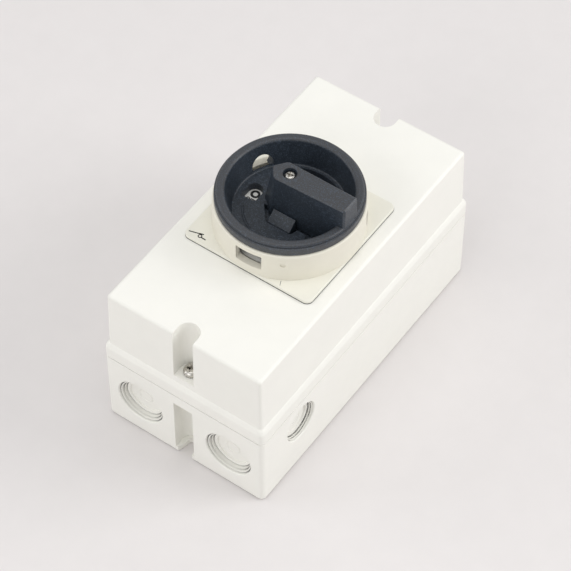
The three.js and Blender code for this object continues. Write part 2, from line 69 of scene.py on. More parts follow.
# ---------- driving dimensions ----------
MM = 0.001
GAP = 0.3  # clearance between pieces that move or rest on one another
WIDTH, LENGTH, CORNER = 83, 156.7, 2.4
SIDE, END = WIDTH / 2, LENGTH / 2
WALL, FLOOR = 2.8, 3
PARTING, SEAM = 40.8, 0.4  # height where lid and base meet, and the dark line there
LEDGE, LID_TOP = 49.7, 81.6
LID_SCREW_Y, WASHER = 71.3, 0.4
NOTCH = {"half": 5.2, "inner": 67, "z": 53.2}
CHANNEL = {"half": 4.95, "inner": 69, "top": 35}
COLUMN = {"half": 7.8, "inner": 64.6}
TAB, TAB_SLOT = 3, {"half": 2.6, "y": 73.2}
END_ENTRY = {"x": 23.3, "z": 20.4, "steps": [(11.7, 1), (10.7, 2), (10, 3.3), (8.1, 4.2)]}
SIDE_ENTRY = {"y": -50.2, "z": 26.8, "steps": [(9.7, 0.8), (9.4, 1.8), (9.1, 2.8), (7.2, 3.6)]}
ENTRY_PAD = 2.6
SCORE = {"width": 0.5, "depth": 1.5}  # the groove along which a knockout's rings break out
CENTRE_RING = 3.6  # radius of the fine ring in the middle of a knockout
PLATE = {"side": 65, "corner": 3, "z0": 82.0, "z1": 83.2}
COLLAR = {"outer": 32.8, "inner": 29.8, "top": 98}
LOCK_ANGLES = (-87, 33, 153)
LOCK_WINDOW = {"half": 6.3, "z0": 87.4, "z1": 95.4}
LOCK_HOLE = {"radius": 5, "z": 92.8}
KNOB = {
    "rim": 32, "bowl_top": 27.4, "bowl_foot": 24.7, "skin": 29.3, "under_rim": 98.3, "top": 103.4,
    "floor": 90.4, "skin_end": 89.6, "slab": 26.6, "under": 86.5, "barrel": 15.6, "barrel_end": 74.5,
}
GRIP = {"tip": -8.7, "shoulder": -4.4, "shoulder_half": 5.5, "end": 30.8, "end_half": 4.8, "top": 113.8}
GRIP_FOOT = {"tip": -13.8, "shoulder": -6.6, "shoulder_half": 6, "end": 30.8, "end_half": 5.8, "top": 87.4}
GRIP_FALL = 0.0256  # slope of the grip's top, down to its nose
TROUGH = 2.8  # depth of the sunk areas beside the grip
HOLE_SILL = 25.7  # radius out to which the bowl's floor runs on under the padlock holes
POCKET = {"x0": -4.2, "x1": 7.8, "y0": -11.6, "y1": -6, "z": 79.4}
WINDOW = {"x0": -21.6, "x1": -14.3, "y0": -5.6, "y1": 3.4}
PLUNGER = {"z0": 84.6, "near_top": 90.2, "far_top": 93.9, "travel": 3}
HOLE = 16.2
CLIP = {"z0": 77.6, "z1": 78.8, "groove": 14.4}
SHAFT = {"half": 3.5, "z0": 61, "z1": 97.5}
SPINDLE = {"half": 4.5, "head": 8, "z0": 17.4, "neck": 61, "z1": 69.2}
RAIL = {"length": 70, "z": 6.3, "height": 7.5, "metal": 1, "half": 17.5, "web": 13.5}
RAIL_SCREW_X = 29
DECKS = {"count": 4, "z": 17.3, "pitch": 10, "height": 9.7, "half": 23, "cavity": 15.5, "floor": 1.5}
HOUSING = {"z0": 57.6, "z1": 68.4}
BOLT_XY = 19.3
BOLT_BORE = 1.9
TERMINAL = {"half": 4, "strip": 6.6, "metal": 1.2, "screw_z": 3.2, "inner": 11}
BLADE = {"reach": 13.6, "half": 3.6, "hub": 8.2, "metal": 1.2}  # moving contact
CAM = {"radius": 9.6, "lobe": 1.6, "lobes": 4}
LEAF = {"half": 9, "y": 12, "metal": 1, "height": 5.6}  # snap springs
HOOK = {"half": 12, "metal": 2.5, "lip": 2, "reach": 2.6}  # the foot's hooks round the rail
LEGEND_TOP = PLATE["z1"] + 3

ROUND, FINE, SMALL = 128, 64, 32  # segments round large, middle and small circles
SMOOTH_ANGLE = math.radians(32)


# ---------- outlines ----------
def fillet(corners, steps=5):
    """A closed outline whose corners, given as (x, y) or (x, y, radius), are rounded."""
    outline = []
    for i, corner in enumerate(corners):
        point = Vector(corner[:2])
        radius = corner[2] if len(corner) > 2 else 0
        if not radius:
            outline.append(tuple(point))
            continue
        before = (Vector(corners[i - 1][:2]) - point).normalized()
        after = (Vector(corners[(i + 1) % len(corners)][:2]) - point).normalized()
        half = before.angle(after) / 2
        centre = point + (before + after).normalized() * (radius / math.sin(half))
        start = point + before * (radius / math.tan(half)) - centre
        end = point + after * (radius / math.tan(half)) - centre
        turn = start.angle(end)
        for k in range(steps + 1):
            share = k / steps
            arm = start * math.sin((1 - share) * turn) + end * math.sin(share * turn)
            outline.append(tuple(centre + arm / math.sin(turn)))
    return outline


def rounded_loop(width, length, radius, steps=10):
    """A rounded rectangle, as a counterclockwise loop."""
    x, y = width / 2, length / 2
    corners = [(x, -y), (x, y), (-x, y), (-x, -y)]
    return fillet([(*c, radius) for c in corners], steps)


# ---------- solids ----------
def solid(points, faces):
    """A closed mesh with its normals outwards."""
    mesh = bpy.data.meshes.new("solid")
    shape = bmesh.new()
    corners = [shape.verts.new(p) for p in points]
    for face in faces:
        shape.faces.new([corners[i] for i in face])
    bmesh.ops.remove_doubles(shape, verts=shape.verts, dist=1e-4)
    bmesh.ops.recalc_face_normals(shape, faces=shape.faces)
    shape.to_mesh(mesh)
    shape.free()
    return mesh


def skin(loops):
    """A closed skin through stacked loops of equal length."""
    count = len(loops[0])
    points = [p for loop in loops for p in loop]
    faces = [tuple(range(count)), tuple(range(len(points) - count, len(points)))]
    for k in range(len(loops) - 1):
        for i in range(count):
            a, b = k * count + i, k * count + (i + 1) % count
            faces.append((a, b, b + count, a + count))
    return solid(points, faces)


def prism(outline, z0, z1):
    return skin([[(x, y, z) for x, y in outline] for z in (z0, z1)])


def box(x0, x1, y0, y1, z0, z1):
    return prism([(x0, y0), (x1, y0), (x1, y1), (x0, y1)], z0, z1)


def lathe(profile, steps=ROUND):
    """A solid of revolution about Z from a closed profile of radius and height pairs."""
    count = len(profile)
    points, faces = [], []
    for i in range(steps):
        turn = 2 * math.pi * i / steps
        points += [(r * math.cos(turn), r * math.sin(turn), z) for r, z in profile]
        for k in range(count):
            after = (k + 1) % count
            if profile[k][0] == 0 and profile[after][0] == 0:
                continue
            ahead = (i + 1) % steps * count
            faces.append((i * count + k, ahead + k, ahead + after, i * count + after))
    return solid(points, faces)


def rod(radius, z0, z1, steps=FINE):
    return lathe([(0, z0), (radius, z0), (radius, z1), (0, z1)], steps)


def ring(inner, outer, z0, z1, steps=ROUND, soft=0.0):
    corners = [(inner, z0), (outer, z0), (outer, z1), (inner, z1)]
    return lathe(fillet([(*c, soft) for c in corners], 3), steps)


def loft(sections, width=WIDTH, length=LENGTH, corner=CORNER):
    """A box with rounded upright edges through sections given as inset and height."""
    loops = []
    for inset, z in sections:
        loop = rounded_loop(width - 2 * inset, length - 2 * inset, max(corner - inset / 2, 1))
        loops.append([(x, y, z) for x, y in loop])
    return skin(loops)


def tube(path, radius, steps=12):
    """A round bar along a path, with flat ends."""
    loops = []
    side = Vector((0, 0, 1))
    for i, point in enumerate(path):
        ahead = Vector(path[min(i + 1, len(path) - 1)]) - Vector(path[max(i - 1, 0)])
        across = ahead.cross(side).normalized()
        up = across.cross(ahead).normalized()
        turns = [2 * math.pi * k / steps for k in range(steps)]
        loops.append([Vector(point) + radius * (across * math.cos(t) + up * math.sin(t)) for t in turns])
    return skin(loops)


# ---------- placing, joining and cutting ----------
def moved(mesh, x=0, y=0, z=0):
    mesh.transform(Matrix.Translation((x, y, z)))
    return mesh


def turned(mesh, degrees, axis="Z"):
    mesh.transform(Matrix.Rotation(math.radians(degrees), 4, axis))
    return mesh


def both_ends(make):
    return [make(), turned(make(), 180)]


def linked(mesh):
    thing = bpy.data.objects.new("work", mesh)
    bpy.context.scene.collection.objects.link(thing)
    return thing


def applied(mesh, steps):
    """The mesh after modifiers, each given as its type and its settings."""
    thing = linked(mesh)
    for kind, settings in steps:
        modifier = thing.modifiers.new(kind, kind)
        for key, value in settings.items():
            setattr(modifier, key, value)
    depsgraph = bpy.context.evaluated_depsgraph_get()
    result = bpy.data.meshes.new_from_object(thing.evaluated_get(depsgraph))
    bpy.data.objects.remove(thing)
    return result


def tidied(mesh, near=0.012, flat=0.3):
    shape = bmesh.new()
    shape.from_mesh(mesh)
    bmesh.ops.remove_doubles(shape, verts=shape.verts, dist=near)
    bmesh.ops.dissolve_degenerate(shape, edges=shape.edges, dist=near)
    bmesh.ops.dissolve_limit(
        shape, angle_limit=math.radians(flat), use_dissolve_boundaries=False,
        verts=shape.verts, edges=shape.edges, delimit={"NORMAL"})
    shape.to_mesh(mesh)
    shape.free()
    return mesh


def combined(operation, first, others):
    tools = [linked(mesh) for mesh in others]
    steps = [("BOOLEAN", {"operation": operation, "solver": "MANIFOLD", "object": t}) for t in tools]
    result = applied(first, steps)
    for thing in tools:
        bpy.data.objects.remove(thing)
    return result


def join(first, *others):
    return combined("UNION", first, others)


def cut(first, *others):
    return combined("DIFFERENCE", first, others)


def softened(mesh, width=0.3, segments=3, angle=34):
    """The mesh with its sharp edges rounded."""
    settings = {
        "width": width, "segments": segments, "limit_method": "ANGLE", "angle_limit": math.radians(angle),
        "use_clamp_overlap": True, "miter_outer": "MITER_ARC", "loop_slide": True,
    }
    return applied(tidied(mesh), [("BEVEL", settings)])


# ---------- materials ----------
class Nodes:
    """A small wrapper that makes a material's nodes and links them."""

    def __init__(self, name):
        self.material = bpy.data.materials.new(name)
        self.material.use_nodes = True
        self.tree = self.material.node_tree
        self.shader = self.tree.nodes["Principled BSDF"]
        self.place = self.tree.nodes.new("ShaderNodeTexCoord").outputs["Object"]

    def make(self, kind, inputs=None, **settings):
        node = self.tree.nodes.new(kind)
        for key, value in settings.items():
            setattr(node, key, value)
        for key, value in (inputs or {}).items():
            if isinstance(value, bpy.types.NodeSocket):
                self.tree.links.new(value, node.inputs[key])
            else:
                node.inputs[key].default_value = value
        return node

    def noise(self, size, detail=3.0, stretch=None):
        """Noise whose patches are about size millimetres across."""
        place = self.place
        if stretch:
            scaled = self.make("ShaderNodeMapping", {"Vector": place, "Scale": stretch})
            place = scaled.outputs["Vector"]
        inputs = {"Vector": place, "Scale": 1 / (size * MM), "Detail": detail, "Roughness": 0.6}
        return self.make("ShaderNodeTexNoise", inputs).outputs["Fac"]

    def between(self, factor, low, high, from_min=0.3, from_max=0.7):
        """The factor's middle range, as a number from low to high."""
        inputs = {"Value": factor, "From Min": from_min, "From Max": from_max, "To Min": low, "To Max": high}
        return self.make("ShaderNodeMapRange", inputs).outputs["Result"]

    def blend(self, factor, first, second):
        node = self.make("ShaderNodeMix", data_type="RGBA")
        for index, value in ((0, factor), (6, first), (7, second)):
            if isinstance(value, bpy.types.NodeSocket):
                self.tree.links.new(value, node.inputs[index])
            else:
                node.inputs[index].default_value = value
        return node.outputs[2]

    def bump(self, height, depth, strength=1.0, below=None):
        """A bump of that depth in millimetres, on top of the one below."""
        inputs = {"Height": height, "Distance": depth * MM, "Strength": strength}
        if below is not None:
            inputs["Normal"] = below
        return self.make("ShaderNodeBump", inputs).outputs["Normal"]

    def finish(self, colour, roughness, normal, **constants):
        for key, socket in (("Base Color", colour), ("Roughness", roughness), ("Normal", normal)):
            self.tree.links.new(socket, self.shader.inputs[key])
        for key, value in constants.items():
            self.shader.inputs[key.replace("_", " ")].default_value = value
        return self.material


def tint(colour, amount):
    return (*[min(1.0, c * amount) for c in colour], 1)


def moulded(name, colour, roughness=0.5, grain=0.35, depth=0.01, variation=0.03, **constants):
    """Moulded plastic: a faint mottle in the colour and a fine spark-eroded grain."""
    n = Nodes(name)
    mottle = n.between(n.noise(14, 4), 0, 1)
    shade = n.blend(mottle, tint(colour, 1 - variation), tint(colour, 1 + variation))
    rough = n.between(n.noise(3.0), roughness - 0.05, roughness + 0.06)
    waves = n.bump(n.noise(9, 2), 0.02, 0.6)
    return n.finish(shade, rough, n.bump(n.noise(grain, 4), depth, 0.8, waves), **constants)


def painted_highlight_mask(n):
    """1 on the top faces above the bowl and on the rim's flank, where a highlight is painted, else 0."""
    place = n.make("ShaderNodeSeparateXYZ", {"Vector": n.place}).outputs
    normal = n.make("ShaderNodeTexCoord").outputs["Normal"]
    upward = n.between(n.make("ShaderNodeSeparateXYZ", {"Vector": normal}).outputs["Z"], 0, 1, 0.4, 0.8)
    high = n.between(place["Z"], 0, 1, (KNOB["top"] - 1.5) * MM, (KNOB["top"] - 0.5) * MM)
    top = n.make("ShaderNodeMath", {0: upward, 1: high}, operation="MULTIPLY").outputs["Value"]
    flat = n.make("ShaderNodeCombineXYZ", {"X": place["X"], "Y": place["Y"]}).outputs["Vector"]
    radius = n.make("ShaderNodeVectorMath", {0: flat}, operation="LENGTH").outputs["Value"]
    flank = n.between(radius, 0, 1, (KNOB["rim"] - 1.2) * MM, (KNOB["rim"] - 0.4) * MM)
    return n.make("ShaderNodeMath", {0: top, 1: flank}, operation="MAXIMUM").outputs["Value"]


def charcoal(name, colour):
    """Charcoal moulding with a coarse eroded grain whose tops catch the light, with a painted highlight on
    the top faces and the rim's flank.
    """
    n = Nodes(name)
    grain = n.noise(0.55, 5)
    speck = n.between(grain, 0, 1, 0.5, 0.7)
    mottle = n.blend(n.between(n.noise(11), 0, 1), tint(colour, 0.88), tint(colour, 1.12))
    # Painted highlight: the top faces above the bowl and the rim's flank are coloured paler.
    painted_highlight = n.blend(painted_highlight_mask(n), mottle, tint((colour[1] * 1.2, colour[1] * 1.24, colour[1] * 1.36), 1.35))
    shade = n.blend(speck, painted_highlight, tint(colour, 3.6))
    rough = n.between(n.noise(2.2), 0.36, 0.48)
    return n.finish(shade, rough, n.bump(grain, 0.08, 1.0))


def plated(name, colour, roughness=0.26, stretch=None, depth=0.006):
    """Bare or plated metal with fine lines or a faint orange peel."""
    n = Nodes(name)
    stain = n.between(n.noise(2.5, 4), 0, 1)
    shade = n.blend(stain, tint(colour, 0.86), tint(colour, 1.05))
    rough = n.between(n.noise(1.2, 4, stretch), roughness - 0.08, roughness + 0.14)
    return n.finish(shade, rough, n.bump(n.noise(0.25, 3, stretch), depth, 0.7), Metallic=1.0)


def filled(name, colour):
    """Glass-filled thermoset: dark, with short pale fibres showing at the surface."""
    n = Nodes(name)
    fibre = n.between(n.noise(0.5, 2, (1, 5, 1)), 0, 1, 0.62, 0.75)
    base = n.blend(n.between(n.noise(7), 0, 1), tint(colour, 0.85), tint(colour, 1.15))
    shade = n.blend(fibre, base, tint(colour, 1.9))
    rough = n.between(n.noise(1.5), 0.42, 0.62)
    return n.finish(shade, rough, n.bump(n.noise(0.5, 4), 0.02, 0.7))


def tipped(name, colour, tip, reach):
    """Copper whose ends, beyond a distance from the middle, carry silver tips."""
    n = Nodes(name)
    parts = n.make("ShaderNodeSeparateXYZ", {"Vector": n.place})
    flat = n.make("ShaderNodeCombineXYZ", {"X": parts.outputs["X"], "Y": parts.outputs["Y"]})
    far = n.make("ShaderNodeVectorMath", {0: flat.outputs["Vector"]}, operation="LENGTH")
    edge = n.between(far.outputs["Value"], 0, 1, reach[0] * MM, reach[0] * MM + 0.0002)
    back = n.between(far.outputs["Value"], 1, 0, reach[1] * MM, reach[1] * MM + 0.0002)
    share = n.make("ShaderNodeMath", {0: edge, 1: back}, operation="MULTIPLY").outputs["Value"]
    stained = n.blend(n.between(n.noise(2), 0, 1), tint(colour, 0.8), tint(colour, 1.08))
    shade = n.blend(share, stained, tint(tip, 1))
    rough = n.between(n.noise(0.8, 4, (1, 12, 1)), 0.2, 0.38)
    return n.finish(shade, rough, n.bump(n.noise(0.3), 0.006, 0.6), Metallic=1.0)


MATERIALS = {
    "shell": moulded("white_moulding", (0.875, 0.866, 0.815), 0.42, variation=0.012),
    "plate": moulded("pale_plate", (0.80, 0.785, 0.70), 0.4, variation=0.015),
    "collar": moulded("cream_moulding", (0.78, 0.75, 0.65), 0.4, variation=0.02),
    "legend": moulded("legend_disc_print", (0.90, 0.89, 0.85), 0.5, variation=0.02),
    "knob": charcoal("charcoal_moulding", (0.020, 0.0265, 0.036)),
    "seal": moulded("black_elastomer", (0.018, 0.018, 0.019), 0.8, 0.2, 0.02, 0.15),
    "zinc": plated("bright_zinc", (0.62, 0.60, 0.56)),
    "steel": plated("rolled_steel", (0.52, 0.53, 0.55), 0.34, (1, 14, 14), 0.01),
    "brass": plated("turned_brass", (0.72, 0.52, 0.24), 0.28),
    "copper": tipped("stamped_copper", (0.62, 0.30, 0.17), (0.8, 0.79, 0.76), (11.0, 15.2)),
    "deck": filled("glass_filled_thermoset", (0.045, 0.046, 0.048)),
    "rotor": moulded("natural_polyamide", (0.66, 0.56, 0.36), 0.45, 0.4, 0.012, 0.05),
}
INK = moulded("black_ink", (0.012, 0.012, 0.013), 0.55, 0.15, 0.004, 0.2)
# Grey print, also used for the painted shade rings in the knockouts' grooves.
GREY_INK_AND_SHADE = moulded("grey_ink_and_shade", (0.20, 0.20, 0.20), 0.55, 0.15, 0.004, 0.1)


# ---------- pieces ----------
BODY_OF = {}
for body_name, body in frame["bodies"].items():
    for node in body.children:
        BODY_OF[node.name] = body_name
SLOT_OF = {row["node"]: row["material_slot"] for row in frame["record"]["subparts"]}


def smoothed(mesh, angle=SMOOTH_ANGLE):
    mesh.transform(Matrix.Scale(MM, 4))
    mesh.shade_smooth()
    mesh.set_sharp_from_angle(angle=angle)
    return mesh


def show(name, mesh, body, slot=None, material=None):
    """Turns a mesh in millimetres into a piece that rides on a body."""
    thing = bpy.data.objects.new(name, smoothed(mesh))
    bpy.context.scene.collection.objects.link(thing)
    thing.data.materials.clear()
    thing.data.materials.append(material or MATERIALS[slot])
    weighted = thing.modifiers.new("even_normals", "WEIGHTED_NORMAL")
    weighted.keep_sharp = True
    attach(thing, body)
    return thing


def stand_for(node, mesh):
    """A detailed piece in the place of a CAD node."""
    thing = show(f"{node}_detail", mesh, BODY_OF[node], SLOT_OF[node])
    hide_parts(node)
    return thing


# ---------- screws ----------
def cross_recess(reach, width, depth, top):
    """A tapered cross, as deep as given below the top."""
    arms = []
    for turn in (0, 90):
        low = [(-reach * 0.45, -width * 0.35), (reach * 0.45, -width * 0.35),
               (reach * 0.45, width * 0.35), (-reach * 0.45, width * 0.35)]
        high = [(-reach, -width / 2), (reach, -width / 2), (reach, width / 2), (-reach, width / 2)]
        loops = [[(x, y, top - depth) for x, y in low], [(x, y, top + 0.02) for x, y in high]]
        arms.append(turned(skin(loops), turn))
    rise = top + 0.02
    centre = lathe([(0, top - depth * 1.1), (width * 0.55, top - depth), (width * 0.95, rise), (0, rise)], 24)
    return arms + [centre]


def screw(head, height, shank, length, recess=0.58):
    """A domed pan head with a cross recess. The head's underside is at height 0."""
    body = lathe(fillet([
        (0, -length), (shank * 0.8, -length), (shank, -length + shank * 0.5), (shank, 0), (head, 0, 0.15),
        (head, height * 0.62, head * 0.28), (head * 0.7, height, head * 0.5), (0, height),
    ], 6), FINE)
    return cut(body, *cross_recess(head * recess, head * 0.34, height * 0.85, height))


# ---------- enclosure ----------
def channel_cutter():
    centre = -(CHANNEL["inner"] + CHANNEL["half"])
    half, top = CHANNEL["half"], CHANNEL["top"]
    outline = [(-half, -END - 1), (half, -END - 1), (half, centre)]
    outline += [(half * math.cos(t), centre + half * math.sin(t)) for t in arc(0, 180, 24)[1:-1]]
    return prism(outline + [(-half, centre)], TAB, top)


def arc(start, end, steps):
    return [math.radians(start + (end - start) * k / steps) for k in range(steps + 1)]


def slot_cutter():
    half, y = TAB_SLOT["half"], TAB_SLOT["y"]
    flare = half + 1.4
    outline = [(-flare, -END - 1), (flare, -END - 1), (half, -y - 0.6)]
    outline += [(half * math.cos(t), -y + half * math.sin(t)) for t in arc(0, 180, 16)]
    return prism(outline + [(-half, -y - 0.6)], -1, TAB + 1)


def entry_cutter(steps):
    """The stepped blind recess of a knockout, drawn on the front wall, with a softened mouth."""
    profile = [(0, 1), (steps[0][0] + 0.9, 1), (steps[0][0] + 0.4, 0.02), (steps[0][0], -0.4)]
    for k, (radius, depth) in enumerate(steps):
        foot = radius - 0.1
        if k:
            profile.append((radius, -steps[k - 1][1]))
        if k < 3:
            profile += [(foot, -depth - SCORE["depth"]), (foot - SCORE["width"], -depth - SCORE["depth"])]
            foot -= SCORE["width"]
        profile.append((foot, -depth))
    depth = steps[-1][1]
    groove = [(CENTRE_RING, -depth), (CENTRE_RING - 0.1, -depth - 0.25), (CENTRE_RING - 0.4, -depth - 0.25)]
    return turned(lathe(profile + groove + [(CENTRE_RING - 0.5, -depth), (0, -depth)], 96), 90, "X")


def groove_shade_rings(steps):
    """Dark rings at the foot of each groove, where a knockout's rings break out: painted shade."""
    width, low, high = SCORE["width"], SCORE["depth"], SCORE["depth"] - 1
    rings = [ring(r - 0.1 - width, r - 0.1, -depth - low + 0.02, -depth - high, 96) for r, depth in steps[:3]]
    return turned(join(*rings), 90, "X")


def entry_pad(steps):
    return turned(rod(steps[0][0] + 1.4, -WALL - ENTRY_PAD, -WALL + 0.5), 90, "X")


def at_entries(make):
    placed = []
    for side in (-1, 1):
        placed.append(moved(make(END_ENTRY["steps"]), side * END_ENTRY["x"], -END, END_ENTRY["z"]))
        rear = turned(make(END_ENTRY["steps"]), 180)
        placed.append(moved(rear, side * END_ENTRY["x"], END, END_ENTRY["z"]))
        flank = turned(make(SIDE_ENTRY["steps"]), side * 90)
        placed.append(moved(flank, side * SIDE, SIDE_ENTRY["y"], SIDE_ENTRY["z"]))
    return placed


def end_column(z0, z1):
    reach = END - COLUMN["inner"] + 1
    return box(-COLUMN["half"], COLUMN["half"], -END - 1, -END - 1 + reach, z0, z1)


def enclosure_base():
    outer = loft([
        (1.3, 0), (1.3, 0.5), (0.25, 0.55), (0.06, 0.75), (0, 1.1),
        (0, PARTING - SEAM / 2 - 0.35), (0.1, PARTING - SEAM / 2 - 0.1), (0.32, PARTING - SEAM / 2),
    ])
    hollow = loft([(WALL + 0.9, FLOOR), (WALL + 0.3, FLOOR + 0.7), (WALL, PARTING + 1)])
    room = cut(hollow, *both_ends(lambda: end_column(-1, PARTING + 2)), *at_entries(entry_pad))
    groove = cut(
        loft([(0.9, PARTING - 1.6), (0.9, PARTING + 1)]),
        loft([(2.1, PARTING - 2), (2.1, PARTING + 2)]))
    shell = cut(
        outer, room, groove, *both_ends(channel_cutter), *both_ends(slot_cutter),
        *both_ends(lambda: moved(rod(3.2, PARTING - 5.5, PARTING + 1), 0, -LID_SCREW_Y)),
        *at_entries(entry_cutter))
    posts = [moved(rod(5, FLOOR - 0.5, RAIL["z"] - GAP), x) for x in (-RAIL_SCREW_X, RAIL_SCREW_X)]
    holes = [moved(rod(1.9, FLOOR - 1, RAIL["z"] + 1), x) for x in (-RAIL_SCREW_X, RAIL_SCREW_X)]
    return softened(cut(join(shell, *posts), *holes), 0.28, 2)


def notch_cutter():
    half = NOTCH["half"]
    centre = -(NOTCH["inner"] + half)
    outline = [(-half, -END - 1), (half, -END - 1)]
    outline += [(half * math.cos(t), centre + half * math.sin(t)) for t in arc(0, 180, 32)]
    return prism(outline, NOTCH["z"], LID_TOP + 1)


def lid_shell():
    outer = loft([
        (0.3, PARTING + SEAM / 2), (0.08, PARTING + SEAM / 2 + 0.12), (0, PARTING + SEAM / 2 + 0.4),
        (0, LEDGE - 3.0), (0.06, LEDGE - 2.5), (0.3, LEDGE - 1.8), (0.75, LEDGE - 0.9), (1.1, LEDGE - 0.35),
        (1.45, LEDGE), (1.5, LEDGE + 0.3), (2.2, LID_TOP - 1.6), (2.28, LID_TOP - 1.1), (2.45, LID_TOP - 0.7),
        (2.75, LID_TOP - 0.35), (3.15, LID_TOP - 0.12), (3.6, LID_TOP - 0.02), (3.9, LID_TOP),
    ])
    hollow = loft([(WALL, PARTING - 1), (WALL + 1.3, LEDGE), (WALL + 2.2, LID_TOP - WALL + 0.4)])
    room = cut(hollow, *both_ends(lambda: end_column(PARTING - 2, LID_TOP)))
    shell = cut(
        outer, room, rod(HOLE, PARTING, LID_TOP + 1, ROUND), *both_ends(notch_cutter),
        *both_ends(lambda: moved(rod(2.4, PARTING - 1, NOTCH["z"] + 1), 0, -LID_SCREW_Y)))
    return softened(shell, 0.5, 3)


def show_enclosure():
    stand_for("base_box", enclosure_base())
    # Dark grey rings in the knockouts' grooves are painted shade.
    for k, shade_rings in enumerate(at_entries(groove_shade_rings)):
        show(f"knockout_grooves_{k + 1}", shade_rings, "base", material=GREY_INK_AND_SHADE)
    stand_for("lid", lid_shell())
    seal = cut(
        loft([(1, PARTING - 1.5), (1, PARTING + SEAM / 2)]),
        loft([(2, PARTING - 3), (2, PARTING + 3)]))
    stand_for("lid_gasket", softened(seal, 0.15, 2))
    for end, y in (("front", -LID_SCREW_Y), ("rear", LID_SCREW_Y)):
        stand_for(f"lid_screw_{end}", moved(turned(screw(3.4, 2.4, 2, 17.4), 20), 0, y, NOTCH["z"] + WASHER))
        stand_for(f"screw_washer_{end}", moved(ring(2.2, 3.2, 0, WASHER, FINE, 0.1), 0, y, NOTCH["z"]))
        insert = ring(2.4, 3.1, PARTING - 5.3, PARTING - 0.4, 48, 0.1)
        stand_for(f"lid_insert_{end}", moved(insert, 0, y))


# ---------- front plate, collar and legend ----------
def locking_collar():
    outer, inner, top = COLLAR["outer"], COLLAR["inner"], COLLAR["top"]
    wall = lathe(fillet([
        (inner, PLATE["z1"]), (outer + 0.2, PLATE["z1"]), (outer, top, 0.9), (inner, top, 0.4),
    ], 6), 192)
    windows = []
    for angle in LOCK_ANGLES:
        half, z0, z1 = LOCK_WINDOW["half"], LOCK_WINDOW["z0"], LOCK_WINDOW["z1"]
        outline = fillet([(-half, z0, 0.6), (half, z0, 0.6), (half, z1, 0.6), (-half, z1, 0.6)])
        opening = turned(turned(prism(outline, inner - 4, outer + 2), 90, "X"), 90)
        windows.append(turned(opening, angle))
    dimple = turned(rod(1.2, -0.5, 1, 32), 90, "Y")
    dimple = turned(moved(dimple, outer, 0, 92.6), -60)
    return softened(cut(wall, *windows, dimple), 0.22, 2)


def show_front():
    outline = {"width": PLATE["side"], "length": PLATE["side"], "corner": PLATE["corner"]}
    top = PLATE["z1"]
    edge = [(0, PLATE["z0"]), (0, top - 0.45), (0.1, top - 0.2), (0.25, top - 0.06), (0.45, top)]
    sheet = loft(edge, **outline)
    bore = rod(HOLE, LID_TOP - 1, top + 1, ROUND)
    stand_for("front_plate", cut(sheet, bore))
    gasket = loft([(-0.06, LID_TOP), (-0.06, PLATE["z0"])], **outline)
    stand_for("plate_gasket", cut(gasket, rod(HOLE, LID_TOP - 1, top + 1, ROUND)))
    stand_for("locking_collar", locking_collar())
    stand_for("legend_disc", ring(HOLE, COLLAR["inner"] - 1.2, top, LEGEND_TOP, ROUND, 0.2))


def lettering(text, size, x, y, z, weight):
    """A flat printed word, centred on a point, 0.04 mm thick."""
    curve = bpy.data.curves.new("letters", "FONT")
    curve.body = text
    curve.size = size
    curve.extrude = 0.02
    curve.offset = weight
    curve.align_x = "CENTER"
    curve.align_y = "CENTER"
    thing = linked(curve)
    depsgraph = bpy.context.evaluated_depsgraph_get()
    mesh = bpy.data.meshes.new_from_object(thing.evaluated_get(depsgraph))
    bpy.data.objects.remove(thing)
    return moved(mesh, x, y, z + 0.02)


def stroke(x0, y0, x1, y1, width, z):
    """A straight printed line with round ends."""
    length = math.hypot(x1 - x0, y1 - y0)
    half = width / 2
    loop = [(length + half * math.cos(t), half * math.sin(t)) for t in arc(-90, 90, 8)]
    loop += [(half * math.cos(t), half * math.sin(t)) for t in arc(90, 270, 8)]
    line = prism(loop, 0, 0.04)
    return moved(turned(line, math.degrees(math.atan2(y1 - y0, x1 - x0))), x0, y0, z)


def show_print():
    z = PLATE["z1"]
    strokes = [
        (-31.0, -29.7, -26.0, -28.3, 0.5), (-26.6, -28.4, -24.9, -27.9, 0.55),
        (-24.6, -29.7, -22.6, -29.8, 0.55),
    ]
    for k, (x0, y0, x1, y1, width) in enumerate(strokes):
        show(f"symbol_stroke_{k + 1}", stroke(x0, y0, x1, y1, width, z), "lid", material=INK)
    show("symbol_ring", moved(ring(0.55, 1.0, 0, 0.04, 32), -25.6, -29.4, z), "lid", material=INK)
    show("position_tick", stroke(17.1, -31.4, 16.2, -29.4, 0.25, z), "lid", material=GREY_INK_AND_SHADE)
    show("legend_zero", lettering("O", 5.2, -18.5, 0.5, LEGEND_TOP, 0.3), "lid", material=INK)
    show("legend_off", lettering("OFF", 2.4, -18.7, -3.1, LEGEND_TOP, 0.13), "lid", material=INK)
    show("legend_one", lettering("I", 5.2, 0.5, 19.6, LEGEND_TOP, 0.3), "lid", material=INK)
    show("legend_on", lettering("ON", 2.4, 0.5, 15.7, LEGEND_TOP, 0.13), "lid", material=INK)


# ---------- handle ----------
def bowl():
    k = KNOB
    return lathe(fillet([
        (0, k["floor"]), (k["bowl_foot"], k["floor"], 0.8), (k["bowl_top"], k["top"], 1.8),
        (k["rim"] - 0.8, k["top"], 1.1), (k["rim"] - 0.8, k["top"] - 1.2), (k["rim"] - 1, k["top"] - 1.6),
        (k["rim"], k["top"] - 1.9, 0.25), (k["rim"], k["under_rim"], 0.35), (k["skin"], k["under_rim"], 0.2),
        (k["skin"], k["skin_end"], 0.3), (k["slab"], k["skin_end"]), (k["slab"], k["under"], 0.4),
        (k["barrel"], k["under"]), (k["barrel"], k["barrel_end"], 0.5), (0, k["barrel_end"]),
    ], 8), 192)


